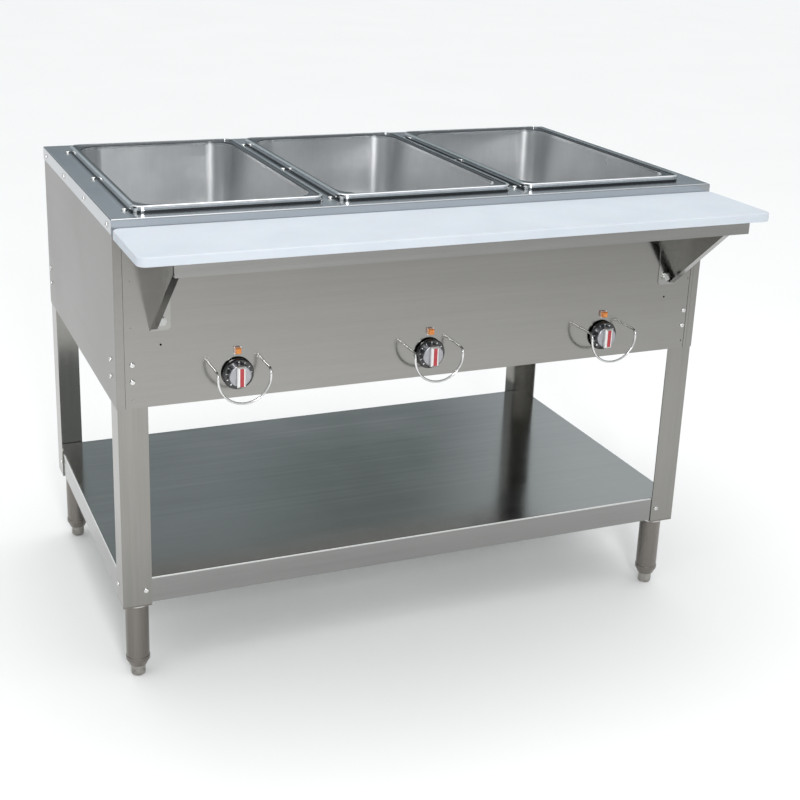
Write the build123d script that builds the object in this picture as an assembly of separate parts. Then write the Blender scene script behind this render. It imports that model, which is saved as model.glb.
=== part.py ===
"""Three well electric steam table with a cutting board, an undershelf and adjustable feet.

All sizes are in millimetres. X runs left to right along the front, Y runs from
the front to the back, Z is up from the floor. The origin is on the floor under
the middle of the whole outline, board included.
"""
import os

from build123d import *

os.makedirs("parts", exist_ok=True)

# ---------------------------------------------------------------- main sizes
table_height = 842.0
well_count = 3
well_gap = 24.0
end_margin = 41.5
control_space = 101.8

# ---------------------------------------------------------------- sheet metal
sheet = 1.2
top_skirt = 25.0
top_bend = 2.6
side_front_flange = 14.0
panel_seam = 1.0
hem_width = 5.5
hem_thickness = 0.9
return_flange = 14.0
under_top_gap = 3.0

# ---------------------------------------------------------------- legs and shelf
leg_width = 51.0
leg_thickness = 2.0
leg_lift = 152.0
shelf_lift = 202.0
shelf_lip = 48.0
shelf_hem = 10.0
shelf_screw_drop = 23.0
foot_inset = 32.0
tube_radius = 20.65
tube_wall = 1.65
tube_bottom = 40.0
collar_height = 18.5
collar_ring_height = 8.0
tube_ring_height = 9.0
tube_ring_proud = 0.8
gusset_thickness = 3.0
foot_radius = 12.8
foot_stem_radius = 8.0
foot_body_height = 20.0
foot_travel = 20.0
running_gap = 0.35

# ---------------------------------------------------------------- pans and wells
pan_width = 332.0
pan_length = 560.0
pan_corner = 52.0
pan_front_margin = 33.0
pan_back_margin = 52.0
pan_depth = 152.0
pan_sheet = 1.2
pan_taper = 4.0
rim_height = 11.0
rim_width = 12.0
rim_corner = 20.0
bead_width = 5.6
bead_rise = 2.2
rim_gap = 0.2
pan_clearance = 3.0
pan_floor_gap = 54.0
well_sheet = 1.0
well_flange = 8.0
well_screw_inset = 27.0
well_screw_gap = 7.0
element_radius = 4.0
element_height = 14.0
element_side_inset = 38.0
element_near_inset = 45.0
element_far_inset = 50.0
element_loop_half = 30.0
element_loop_start = 70.0
element_terminal_half = 24.0
element_tail = 14.0
element_bend = 18.0
clip_half_pitch = 110.0
insulation_thickness = 24.0

# ---------------------------------------------------------------- board
board_reach = 188.0
board_drop = 14.0
board_thickness = 15.0
board_corner = 16.0
board_back_gap = 0.5
board_shelf_setback = 16.0
board_shelf_lip = 24.0
board_shelf_tail = 24.0
bracket_inset = 58.5
bracket_drop = 190.0
bracket_sheet = 1.5
bracket_tab = 35.0
bracket_flange = 12.0
pin_radius = 4.0
pin_height = 8.0
pin_clearance = 1.0
pin_inset = 87.0
pin_setback = 28.0

# ---------------------------------------------------------------- controls
knob_rise = 44.0
shaft_radius = 3.0
bushing_radius = 4.8
skirt_radius = 27.5
skirt_back_gap = 4.5
skirt_thickness = 5.0
grip_radius = 19.5
grip_height = 10.0
ridge_width = 15.0
ridge_height = 8.0
pointer_width = 7.0
pointer_length = 32.0
switch_width = 42.0
switch_height = 46.0
switch_depth = 34.0
light_gap = 13.0
lens_size = 10.0
lens_height = 7.0
bezel_size = 13.0
bezel_thickness = 1.5
lamp_radius = 4.0
guard_gap = 18.5
guard_wire = 2.0
guard_front_gap = 15.5
guard_rise = 17.0
guard_bend = 9.0
guard_drop = 1.8

# ---------------------------------------------------------------- fastenings
screw_head_radius = 4.6
screw_head_height = 2.4
screw_shank_radius = 2.0
well_screw_radius = 5.0
bolt_across = 13.0
bolt_head_height = 5.3
bolt_rise = 16.0
bolt_inset = 20.0
screw_hole_gap = 0.2
panel_hole_gap = 0.2
bolt_radius = 3.0
bolt_hole_gap = 0.3
small_hole_radius = 1.9
washer_radius = 8.0
washer_thickness = 1.2
bolt_nut_height = 4.8

# ---------------------------------------------------------------- supply entry
gland_side_inset = 150.0
gland_back_inset = 90.0
cable_hole_radius = 5.5
gland_body_radius = 10.0
low_screw_rise = 46.0
screw_pitch = 30.0
leg_edge_gap = 10.5

# ---------------------------------------------------------------- derived planes
screw_hole_radius = screw_shank_radius + screw_hole_gap
well_pitch = pan_width + well_gap
body_width = well_count * pan_width + (well_count - 1) * well_gap + 2 * end_margin
body_depth = pan_front_margin + pan_length + pan_back_margin
well_depth = pan_depth - rim_height + pan_floor_gap
body_height = sheet + well_depth + insulation_thickness + control_space
half_width = body_width / 2
front = (board_reach - body_depth) / 2
back = front + body_depth
top = table_height
body_bottom = top - body_height
skin_x = half_width - sheet
skin_front = front + sheet
skin_back = back - sheet
frame_x = skin_x - sheet
frame_front = skin_front + sheet
frame_back = skin_back - sheet
leg_bottom = leg_lift
shelf_top = shelf_lift
knob_z = body_bottom + knob_rise
board_top = top - board_drop
board_bottom = board_top - board_thickness
board_front = front - board_reach
light_rise = skirt_radius + light_gap
guard_half_width = skirt_radius + guard_gap
guard_reach = skirt_back_gap + skirt_thickness + grip_height + ridge_height + guard_front_gap
tube_top = leg_bottom - gusset_thickness
collar_bottom = tube_bottom - collar_height
well_centres = [(i - (well_count - 1) / 2) * well_pitch for i in range(well_count)]
pan_front = front + pan_front_margin
pan_mid_y = pan_front + pan_length / 2
corners = [
    ("front_left", -1, -1),
    ("front_right", 1, -1),
    ("back_left", -1, 1),
    ("back_right", 1, 1),
]


# ---------------------------------------------------------------- shape helpers
def block(x0, x1, y0, y1, z0, z1):
    """Box between two corners, given in any order."""
    low = Vector(min(x0, x1), min(y0, y1), min(z0, z1))
    size = Vector(abs(x1 - x0), abs(y1 - y0), abs(z1 - z0))
    mid = low + size * 0.5
    return Pos(mid.X, mid.Y, mid.Z) * Box(size.X, size.Y, size.Z)


def rounded_block(x_mid, y_mid, width, length, radius, z0, z1):
    """Upright prism with rounded corners in plan."""
    face = Pos(x_mid, y_mid, z0) * RectangleRounded(width, length, radius)
    return extrude(face, amount=z1 - z0)


def rod_z(x, y, radius, z0, z1):
    """Upright round bar."""
    return Pos(x, y, (z0 + z1) / 2) * Cylinder(radius, abs(z1 - z0))


def rod_y(x, z, radius, y0, y1):
    """Round bar along the depth."""
    return Pos(x, (y0 + y1) / 2, z) * Rot(90, 0, 0) * Cylinder(radius, abs(y1 - y0))


def rod_x(y, z, radius, x0, x1):
    """Round bar along the width."""
    return Pos((x0 + x1) / 2, y, z) * Rot(0, 90, 0) * Cylinder(radius, abs(x1 - x0))


def domed_screw(radius, height, shank):
    """Screw standing on the XY plane with its head up and its shank down."""
    head = Cylinder(radius, height, align=(Align.CENTER, Align.CENTER, Align.MIN))
    head = fillet(head.edges().sort_by(Axis.Z)[-1], height * 0.8)
    slot = Pos(0, 0, height) * Box(radius * 1.1, radius * 0.24, height * 0.7)
    cross = Pos(0, 0, height) * Box(radius * 0.24, radius * 1.1, height * 0.7)
    body = Cylinder(
        screw_shank_radius, shank, align=(Align.CENTER, Align.CENTER, Align.MAX)
    )
    return (head - slot - cross) + body


def hex_bolt(shank, clamp):
    """Hex bolt with a washer and nut, head up on the XY plane."""
    head = extrude(RegularPolygon(bolt_across / 2, 6, major_radius=False), bolt_head_height)
    flat = (Align.CENTER, Align.CENTER, Align.MIN)
    washer = Cylinder(washer_radius, washer_thickness, align=flat)
    head = Pos(0, 0, washer_thickness) * head
    bar = Cylinder(bolt_radius, shank, align=(Align.CENTER, Align.CENTER, Align.MAX))
    nut = extrude(RegularPolygon(bolt_across / 2, 6, major_radius=False), bolt_nut_height)
    nut = Pos(0, 0, -clamp - bolt_nut_height) * nut
    return washer + head + bar + nut


def save(shape, name):
    """Write one named piece."""
    export_step(shape, "parts/" + name + ".step")


# facing helpers: turn a piece built on XY so its head points out of a face
facing_front = Rot(90, 0, 0)
facing_left = Rot(0, -90, 0)
facing_right = Rot(0, 90, 0)


# ---------------------------------------------------------------- top sheet
def make_top_panel():
    """Flat top with folded skirts all round and one opening for each pan."""
    outer = block(-half_width, half_width, front, back, top - top_skirt, top)
    rim_edges = outer.edges().filter_by_position(Axis.Z, top - 0.1, top + 0.1)
    outer = fillet(rim_edges, top_bend)
    inner = block(-skin_x, skin_x, skin_front, skin_back, top - top_skirt - 5, top - sheet)
    inner_edges = inner.edges().filter_by_position(Axis.Z, top - sheet - 0.1, top - sheet + 0.1)
    inner = fillet(inner_edges, top_bend - sheet)
    panel = outer - inner
    opening_width = pan_width - 2 * rim_width + 2 * pan_clearance
    opening_length = pan_length - 2 * rim_width + 2 * pan_clearance
    for x in well_centres:
        panel -= rounded_block(
            x, pan_mid_y, opening_width, opening_length, pan_corner, top - 5, top + 5
        )
    for x in well_centres:
        for y in well_screw_rows:
            panel -= rod_z(x - well_screw_offset, y, screw_hole_radius, top - 5, top + 5)
    for side in (-1, 1):
        for y in top_screw_rows:
            low, high = side * (skin_x - 3), side * (half_width + 3)
            panel -= rod_x(y, top_screw_z, screw_hole_radius, low, high)
    return panel


well_screw_offset = pan_width / 2 + well_screw_gap
well_screw_rows = [pan_mid_y + k * (pan_length / 2 - well_screw_inset) for k in (-1, 0, 1)]
top_screw_rows = [front + body_depth * k for k in (0.05, 0.35, 0.65, 0.95)]
top_screw_z = top - 15.0


# ---------------------------------------------------------------- cabinet skins
side_screw_rows = [frame_front + leg_width - leg_edge_gap, frame_back - leg_width / 3]
side_screw_z = [body_bottom + low_screw_rise + screw_pitch, body_bottom + low_screw_rise]
front_screw_x = frame_x - leg_width / 2 - 0.6
front_holes = [
    (front_screw_x + 2.0, top - 103.0),
    (front_screw_x + 2.0, top - bracket_drop + 8.0),
    (half_width - bracket_inset - 18.0, top - bracket_drop - 25.0),
    (front_screw_x + 0.5, body_bottom + 15.0),
]
bracket_x = half_width - bracket_inset
bolt_x = bracket_x - bolt_inset
bolt_z = top - bracket_drop + bolt_rise
guard_z = knob_z + guard_rise
skin_top = top - under_top_gap


def make_side_panel(side):
    """Side skin folded round the front and back corners and in along the bottom."""
    skin = block(side * frame_x, side * skin_x, skin_front, skin_back, body_bottom, skin_top)
    fold_x = skin_x - side_front_flange
    skin += block(side * fold_x, side * skin_x, skin_front, frame_front, body_bottom, skin_top)
    skin += block(side * fold_x, side * skin_x, frame_back, skin_back, body_bottom, skin_top)
    posts = skin.edges().filter_by(Axis.Z)
    bend_edges = posts.filter_by_position(Axis.X, side * skin_x - 0.1, side * skin_x + 0.1)
    skin = fillet(bend_edges, 1.1)
    lip_x = frame_x - return_flange
    lip_front = frame_front + leg_width + 2
    lip_back = frame_back - leg_width - 2
    skin += block(side * lip_x, side * frame_x, lip_front, lip_back, body_bottom, body_bottom + sheet)
    low = side * (frame_x - 3)
    high = side * (skin_x + 3)
    for y in side_screw_rows:
        for z in side_screw_z:
            skin -= rod_x(y, z, screw_hole_radius, low, high)
    for y in top_screw_rows:
        skin -= rod_x(y, top_screw_z, screw_hole_radius, low, high)
    return skin


front_panel_x = skin_x - side_front_flange - panel_seam


def make_front_panel():
    """Control panel with hemmed ends, a bottom return and holes for the controls."""
    panel = block(-front_panel_x, front_panel_x, skin_front, frame_front, body_bottom, skin_top)
    hem_top = top - top_skirt - 1.0
    for side in (-1, 1):
        hem = block(
            side * (front_panel_x - hem_width),
            side * front_panel_x,
            skin_front - hem_thickness,
            skin_front,
            body_bottom,
            hem_top,
        )
        panel += hem
    lip_x = frame_x - leg_width - 3
    panel += block(
        -lip_x, lip_x, frame_front, frame_front + return_flange, body_bottom, body_bottom + sheet
    )
    low = skin_front - 4
    high = frame_front + 1
    for x in well_centres:
        panel -= rod_y(x, knob_z, bushing_radius + panel_hole_gap, low, high)
        panel -= rod_y(x, knob_z + light_rise, lamp_radius + panel_hole_gap, low, high)
        for side in (-1, 1):
            guard_x = x + side * guard_half_width
            panel -= rod_y(guard_x, guard_z, guard_wire + panel_hole_gap, low, high)
    for side in (-1, 1):
        panel -= rod_y(side * bolt_x, bolt_z, bolt_radius + bolt_hole_gap, low, high)
        for z in side_screw_z:
            panel -= rod_y(side * front_screw_x, z, screw_hole_radius, low, high)
        for x, z in front_holes:
            panel -= rod_y(side * x, z, small_hole_radius, low, high)
    return panel


def make_back_panel():
    """Plain back skin between the two side folds."""
    panel = block(-front_panel_x, front_panel_x, frame_back, skin_back, body_bottom, skin_top)
    lip_x = frame_x - leg_width - 3
    panel += block(
        -lip_x, lip_x, frame_back - return_flange, frame_back, body_bottom, body_bottom + sheet
    )
    return panel


gland_x = half_width - gland_side_inset
gland_y = back - gland_back_inset
vent_rows = [-0.34, -0.30, -0.26, -0.22]


def make_bottom_panel():
    """Floor of the cabinet, lying on the return folds and notched round the legs."""
    x = frame_x - 0.5
    y0 = frame_front + 0.5
    y1 = frame_back - 0.5
    floor_z = body_bottom + sheet
    panel = block(-x, x, y0, y1, floor_z, floor_z + sheet)
    notch = leg_width + 1.5
    for name, sx, sy in corners:
        cx = sx * frame_x
        cy = frame_front if sy < 0 else frame_back
        panel -= block(cx, cx - sx * notch, cy, cy - sy * notch, floor_z - 2, floor_z + 4)
    panel -= rod_z(gland_x, gland_y, gland_body_radius + panel_hole_gap, floor_z - 2, floor_z + 4)
    for x_mid in well_centres:
        for row in vent_rows:
            y = (y0 + y1) / 2 - row * pan_length * 0.75
            for dx in (-60, 0, 60):
                slot = SlotOverall(44, 6)
                cutter = Pos(x_mid + dx, y, floor_z - 2) * extrude(slot, 8)
                panel -= cutter
    return panel


# ---------------------------------------------------------------- legs and shelf
def make_leg(sx, sy):
    """Angle leg standing inside the cabinet corner and outside the shelf corner."""
    cx = sx * frame_x
    cy = frame_front if sy < 0 else frame_back
    leg_top = top - 4.0
    leg = block(cx, cx - sx * leg_width, cy, cy - sy * leg_thickness, leg_bottom, leg_top)
    leg += block(cx, cx - sx * leg_thickness, cy, cy - sy * leg_width, leg_bottom, leg_top)
    outer = leg.edges().filter_by(Axis.Z).sort_by(lambda e: -(sx * e.center().X + sy * e.center().Y))
    leg = fillet(outer[0], 1.6)
    for z in side_screw_z:
        if sy < 0:
            leg -= rod_y(sx * front_screw_x, z, screw_hole_radius, cy - 5, cy + 5)
        y = side_screw_rows[0] if sy < 0 else side_screw_rows[1]
        leg -= rod_x(y, z, screw_hole_radius, cx - 5, cx + 5)
    y = top_screw_rows[0] if sy < 0 else top_screw_rows[-1]
    leg -= rod_x(y, top_screw_z, screw_hole_radius, cx - 5, cx + 5)
    leg -= rod_y(sx * shelf_screw_x, shelf_screw_z, screw_hole_radius, cy - 5, cy + 5)
    y = cy - sy * (leg_width - leg_edge_gap)
    leg -= rod_x(y, shelf_screw_z, screw_hole_radius, cx - 5, cx + 5)
    return leg


shelf_screw_x = frame_x - leg_width + leg_edge_gap
shelf_screw_z = shelf_top - shelf_screw_drop
shelf_x = frame_x - leg_thickness
shelf_front = frame_front + leg_thickness
shelf_back = frame_back - leg_thickness


def make_undershelf():
    """Tray shelf with a folded lip, a hem inside the lip and two hat stiffeners below."""
    z0 = shelf_top - shelf_lip
    shelf = block(-shelf_x, shelf_x, shelf_front, shelf_back, z0, shelf_top)
    edges = shelf.edges().filter_by_position(Axis.Z, shelf_top - 0.1, shelf_top + 0.1)
    shelf = fillet(edges, 2.4)
    inner = block(
        -shelf_x + sheet,
        shelf_x - sheet,
        shelf_front + sheet,
        shelf_back - sheet,
        z0 + sheet,
        shelf_top - sheet,
    )
    mouth = block(
        -shelf_x + shelf_hem,
        shelf_x - shelf_hem,
        shelf_front + shelf_hem,
        shelf_back - shelf_hem,
        z0 - 1,
        z0 + sheet + 1,
    )
    shelf = shelf - inner - mouth
    for x in (-body_width / 5, body_width / 5):
        z1 = shelf_top - sheet
        hat = block(x - 30, x + 30, shelf_front + 14, shelf_back - 14, z1 - 22, z1)
        hat -= block(x - 28.5, x + 28.5, shelf_front + 10, shelf_back - 10, z1 - 20.5, z1 + 1)
        shelf += hat
    for name, sx, sy in corners:
        cy = shelf_front if sy < 0 else shelf_back
        shelf -= rod_y(sx * shelf_screw_x, shelf_screw_z, screw_hole_radius, cy - 4, cy + 4)
        y = (frame_front if sy < 0 else frame_back) - sy * (leg_width - leg_edge_gap)
        low, high = sx * (shelf_x - 4), sx * (shelf_x + 4)
        shelf -= rod_x(y, shelf_screw_z, screw_hole_radius, low, high)
    return shelf


# ---------------------------------------------------------------- feet
foot_x = half_width - foot_inset


def foot_place(sx, sy):
    """Plan position of one foot."""
    y = front + foot_inset if sy < 0 else back - foot_inset
    return sx * foot_x, y


def make_foot_tubes():
    """Round tube under each leg, welded to a corner plate with its inner corner cut off."""
    tubes = []
    for name, sx, sy in corners:
        cx = sx * frame_x
        cy = frame_front if sy < 0 else frame_back
        reach = leg_width - 1.0
        plate = block(cx, cx - sx * reach, cy, cy - sy * reach, tube_top, leg_bottom)
        inner = plate.edges().filter_by(Axis.Z)
        inner = inner.sort_by(lambda e: sx * e.center().X + sy * e.center().Y)
        plate = fillet(inner[0], 18)
        outer = plate.edges().filter_by(Axis.Z)
        outer = outer.sort_by(lambda e: -(sx * e.center().X + sy * e.center().Y))
        plate = fillet(outer[0], 2.0)
        x, y = foot_place(sx, sy)
        ring = rod_z(x, y, tube_radius + tube_ring_proud, tube_top - tube_ring_height, tube_top)
        ring = fillet(ring.edges().sort_by(Axis.Z)[0], 0.7)
        tube = plate + rod_z(x, y, tube_radius, tube_bottom, tube_top) + ring
        tube -= rod_z(x, y, tube_radius - tube_wall, tube_bottom - 1, tube_top - 4)
        tubes.append(tube)
    return Compound(tubes)


def make_foot_collars():
    """Threaded end piece pressed into the bottom of each tube."""
    collars = []
    for name, sx, sy in corners:
        x, y = foot_place(sx, sy)
        cone_height = collar_height - collar_ring_height
        cone = Pos(x, y, collar_bottom + cone_height / 2) * Cone(
            foot_radius + 3.0, tube_radius, cone_height
        )
        ring = rod_z(x, y, tube_radius + tube_ring_proud, tube_bottom - collar_ring_height, tube_bottom)
        ring = fillet(ring.edges().filter_by(GeomType.CIRCLE), 0.7) + cone
        plug = rod_z(x, y, tube_radius - tube_wall, tube_bottom, tube_bottom + 34)
        bore = rod_z(x, y, foot_stem_radius + running_gap, collar_bottom - 1, tube_bottom + 40)
        collars.append(ring + plug - bore)
    return Compound(collars)


def make_foot(sx, sy):
    """Adjustable foot: a stem up the tube and a rounded pad on the floor."""
    x, y = foot_place(sx, sy)
    pad = rod_z(x, y, foot_radius, 0, foot_body_height)
    pad = fillet(pad.edges().sort_by(Axis.Z)[0], 4.5)
    for angle in (0, 90):
        flat = Pos(x, y, foot_body_height - 4) * Rot(0, 0, angle + 45)
        for side in (-1, 1):
            pad -= flat * Pos(side * (foot_radius + 4.2), 0, 0) * Box(10, 40, 10)
    stem = rod_z(x, y, foot_stem_radius, foot_body_height - 1, foot_body_height + 62)
    stem = chamfer(stem.edges().sort_by(Axis.Z)[-1], 1.2)
    return pad + stem


# ---------------------------------------------------------------- pans
def tapered_bin(x_mid, width, length, radius, z1, depth, floor_radius):
    """Solid that narrows downwards, with rounded corners and a rounded floor edge."""
    face = Pos(x_mid, pan_mid_y, z1) * RectangleRounded(width, length, radius)
    body = extrude(face, amount=-depth, taper=pan_taper)
    floor_edges = body.faces().sort_by(Axis.Z)[0].edges()
    return fillet(floor_edges, floor_radius)


def rim_block(x_mid, inset, z0, z1):
    """Prism with the plan of the pan rim, drawn in all round by the inset."""
    width = pan_width - 2 * inset
    length = pan_length - 2 * inset
    return rounded_block(x_mid, pan_mid_y, width, length, rim_corner - inset, z0, z1)


def make_pan(x_mid):
    """Deep pan whose rim is a low flange with a rolled bead round its edge."""
    z0 = top + rim_gap
    z1 = top + rim_height
    flange_top = z1 - bead_rise
    rim = rim_block(x_mid, 0, z0, z1)
    rim = fillet(rim.faces().sort_by(Axis.Z)[-1].edges(), 2.6)
    step = rim_block(x_mid, bead_width, flange_top, z1 + 1)
    rim -= fillet(step.faces().sort_by(Axis.Z)[0].edges(), 1.6)
    hollow = rim_block(x_mid, pan_sheet, z0 - 1, z1 - pan_sheet)
    hollow = fillet(hollow.faces().sort_by(Axis.Z)[-1].edges(), 1.4)
    hollow -= rim_block(x_mid, bead_width - pan_sheet, flange_top - pan_sheet, z1)
    width = pan_width - 2 * rim_width
    length = pan_length - 2 * rim_width
    depth = pan_depth - bead_rise
    outside = tapered_bin(x_mid, width, length, pan_corner - 4, flange_top - 0.4, depth - 0.4, 20.0)
    inside = tapered_bin(
        x_mid,
        width - 2 * pan_sheet,
        length - 2 * pan_sheet,
        pan_corner - 4 - pan_sheet,
        flange_top + 3.0,
        depth + 3.0 - pan_sheet,
        20.0 - pan_sheet,
    )
    pan = (rim - hollow) + outside - inside
    mouth = pan.edges().filter_by_position(Axis.Z, flange_top - 0.05, flange_top + 0.05)
    mouth = mouth.filter_by(lambda e: abs(e.center().X - x_mid) < width / 2 + 1)
    mouth = mouth.filter_by(lambda e: abs(e.center().Y - pan_mid_y) < length / 2 + 1)
    return fillet(mouth, 1.6)


# ---------------------------------------------------------------- wells
well_width = pan_width - 2 * rim_width + 2 * pan_clearance + 2.0
well_length = pan_length - 2 * rim_width + 2 * pan_clearance + 2.0
well_floor = top - sheet - well_depth
element_z = well_floor + well_sheet + element_height


def make_well_liner(x_mid):
    """Open insulated box that hangs under the top sheet and holds the water or heat."""
    z1 = top - sheet
    outer = rounded_block(
        x_mid,
        pan_mid_y,
        well_width + 2 * well_sheet,
        well_length + 2 * well_sheet,
        pan_corner,
        well_floor,
        z1,
    )
    flange = rounded_block(
        x_mid,
        pan_mid_y,
        well_width + 2 * well_sheet + 2 * well_flange,
        well_length + 2 * well_sheet + 2 * well_flange,
        pan_corner + well_flange,
        z1 - well_sheet,
        z1,
    )
    inner = rounded_block(
        x_mid,
        pan_mid_y,
        well_width,
        well_length,
        pan_corner - well_sheet,
        well_floor + well_sheet,
        z1 + 1,
    )
    liner = outer + flange - inner
    for x in element_terminals(x_mid):
        y = pan_mid_y - well_length / 2
        liner -= rod_y(x, element_z, element_radius + 0.3, y - 5, y + 5)
    for y in well_screw_rows:
        for x in (x_mid - well_screw_offset, x_mid + well_pitch - well_screw_offset):
            liner -= rod_z(x, y, screw_hole_radius, z1 - 4, z1 + 4)
    return liner


def element_terminals(x_mid):
    """Positions where the two ends of a heating element leave the well."""
    return (x_mid - element_terminal_half, x_mid + element_terminal_half)


def make_heating_element(x_mid):
    """Sheathed tube bent into a loop over the well floor, its ends out at the front."""
    x0, x1 = element_terminals(x_mid)
    wide = well_width / 2 - element_side_inset
    y_out = pan_mid_y - well_length / 2 - element_tail
    y_near = pan_mid_y - well_length / 2 + element_near_inset
    y_far = pan_mid_y + well_length / 2 - element_far_inset
    points = [
        (x0, y_out, element_z),
        (x0, y_near, element_z),
        (x_mid - wide, y_near, element_z),
        (x_mid - wide, y_far, element_z),
        (x_mid - element_loop_half, y_far, element_z),
        (x_mid - element_loop_half, y_near + element_loop_start, element_z),
        (x_mid + element_loop_half, y_near + element_loop_start, element_z),
        (x_mid + element_loop_half, y_far, element_z),
        (x_mid + wide, y_far, element_z),
        (x_mid + wide, y_near, element_z),
        (x1, y_near, element_z),
        (x1, y_out, element_z),
    ]
    path = FilletPolyline(*points, radius=element_bend)
    section = Plane(origin=path @ 0, z_dir=path % 0) * Circle(element_radius)
    return sweep(section, path=path)


def make_element_clips():
    """Small saddles that hold each element off its well floor."""
    clips = []
    z0 = well_floor + well_sheet
    wide = well_width / 2 - element_side_inset
    for x_mid in well_centres:
        for side in (-1, 1):
            for dy in (-clip_half_pitch, clip_half_pitch):
                x = x_mid + side * wide
                y = pan_mid_y + dy
                base = block(x - 14, x + 14, y - 6, y + 6, z0, z0 + 1.5)
                post = block(x - 6.5, x + 6.5, y - 6, y + 6, z0, element_z + 1.5)
                post -= rod_y(x, element_z, element_radius + 0.05, y - 10, y + 10)
                post -= block(
                    x - element_radius - 0.05,
                    x + element_radius + 0.05,
                    y - 10,
                    y + 10,
                    element_z,
                    element_z + 10,
                )
                clips.append(base + post)
    return Compound(clips)


def make_insulation():
    """Insulation board under each well."""
    slabs = []
    for x_mid in well_centres:
        slabs.append(
            rounded_block(
                x_mid,
                pan_mid_y,
                well_width - 8,
                well_length - 8,
                pan_corner,
                well_floor - insulation_thickness,
                well_floor,
            )
        )
    return Compound(slabs)


# ---------------------------------------------------------------- board and its shelf
board_shelf_left = -bracket_x
board_shelf_right = bracket_x + board_shelf_tail
board_shelf_top = board_bottom
board_shelf_front = board_front + board_shelf_setback
pin_x = half_width - pin_inset
pin_y = board_front + pin_setback


def make_cutting_board():
    """Board with eased edges and a blind hole over each locating pin."""
    back_edge = front - board_back_gap
    board = block(-half_width, half_width, board_front, back_edge, board_bottom, board_top)
    posts = board.edges().filter_by(Axis.Z)
    board = fillet(posts, board_corner)
    board = fillet(board.faces().sort_by(Axis.Z)[-1].edges(), 2.0)
    board = fillet(board.faces().sort_by(Axis.Z)[0].edges(), 1.2)
    for side in (-1, 1):
        hole = rod_z(
            side * pin_x,
            pin_y,
            pin_radius + pin_clearance,
            board_bottom - 1,
            board_bottom + pin_height + pin_clearance,
        )
        board -= hole
    return board


def make_board_shelf():
    """Folded sheet under the board, with a deep front lip and a hem along it."""
    z1 = board_shelf_top
    z0 = z1 - board_shelf_lip
    y1 = front - 0.2
    shelf = block(board_shelf_left, board_shelf_right, board_shelf_front, y1, z0, z1)
    long_edges = shelf.edges().filter_by(Axis.X).sort_by(lambda e: e.center().Y - e.center().Z)
    shelf = fillet(long_edges[0], 2.2)
    shelf -= block(
        board_shelf_left - 5,
        board_shelf_right + 5,
        board_shelf_front + sheet,
        y1 + 5,
        z0 - 5,
        z1 - sheet,
    )
    shelf += block(
        board_shelf_left,
        board_shelf_right,
        board_shelf_front + sheet,
        board_shelf_front + sheet + 9,
        z0,
        z0 + sheet,
    )
    for side in (-1, 1):
        shelf -= rod_z(side * pin_x, pin_y, pin_radius, z1 - 5, z1 + 1)
    return shelf


def make_board_pins():
    """Two round pins that keep the board from sliding."""
    pins = []
    for side in (-1, 1):
        x = side * pin_x
        under = board_shelf_top - sheet
        pin = rod_z(x, pin_y, pin_radius, under, board_shelf_top + pin_height - 0.5)
        pin = chamfer(pin.edges().sort_by(Axis.Z)[-1], 1.0)
        pin += rod_z(x, pin_y, pin_radius + 3, under - 2.5, under)
        pins.append(pin)
    return Compound(pins)


def make_board_bracket(side):
    """Triangular bracket with a bolted tab, a top flange and a stiffened slope."""
    z1 = board_shelf_top - sheet
    z0 = top - bracket_drop
    y_wall = skin_front
    y_tip = board_shelf_front + sheet + 10.0
    nose = 20.0
    profile = Polyline(
        (y_wall, z0),
        (y_wall, z1),
        (y_tip, z1),
        (y_tip, z1 - nose),
        (y_wall, z0),
    )
    x_out = side * bracket_x
    x_in = x_out - side * bracket_sheet
    web = extrude(Plane.YZ * make_face(profile), amount=bracket_sheet)
    web = Pos(min(x_out, x_in), 0, 0) * web
    inner = x_out - side * bracket_flange
    fold_y = y_wall - 4.0
    fold_z = z0 + 4.0 * (z1 - nose - z0) / (y_wall - y_tip)
    slope = Polyline(
        (y_tip, z1 - nose),
        (fold_y, fold_z),
        (fold_y, fold_z + bracket_sheet),
        (y_tip, z1 - nose + bracket_sheet),
        (y_tip, z1 - nose),
    )
    fold = extrude(Plane.YZ * make_face(slope), amount=bracket_flange)
    fold = Pos(min(x_out, inner), 0, 0) * fold
    lid = block(x_out, inner, y_tip, y_wall, z1 - bracket_sheet, z1)
    tab_in = x_out - side * bracket_tab
    tab = block(x_out, tab_in, y_wall - bracket_sheet, y_wall, z0, z1)
    low_corner = tab.edges().filter_by(Axis.Y).sort_by(lambda e: side * e.center().X + e.center().Z)
    tab = fillet(low_corner[0], 7.0)
    bracket = web + fold + lid + tab
    skirt_cut = block(-half_width, half_width, front - 0.2, back, top - top_skirt - 0.3, top + 1)
    bracket -= skirt_cut
    bracket -= rod_y(side * bolt_x, bolt_z, bolt_radius + bolt_hole_gap, y_wall - 5, y_wall + 5)
    return bracket


def make_bracket_bolts():
    """One hex bolt through each bracket tab and the control panel."""
    bolts = []
    for side in (-1, 1):
        bolt = hex_bolt(14.0, bracket_sheet + sheet)
        face = skin_front - bracket_sheet
        bolts.append(Pos(side * bolt_x, face, bolt_z) * facing_front * bolt)
    return Compound(bolts)


# ---------------------------------------------------------------- controls
skirt_back = skin_front - skirt_back_gap
skirt_front = skirt_back - skirt_thickness
grip_front = skirt_front - grip_height
ridge_front = grip_front - ridge_height
nut_thickness = 3.2


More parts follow.
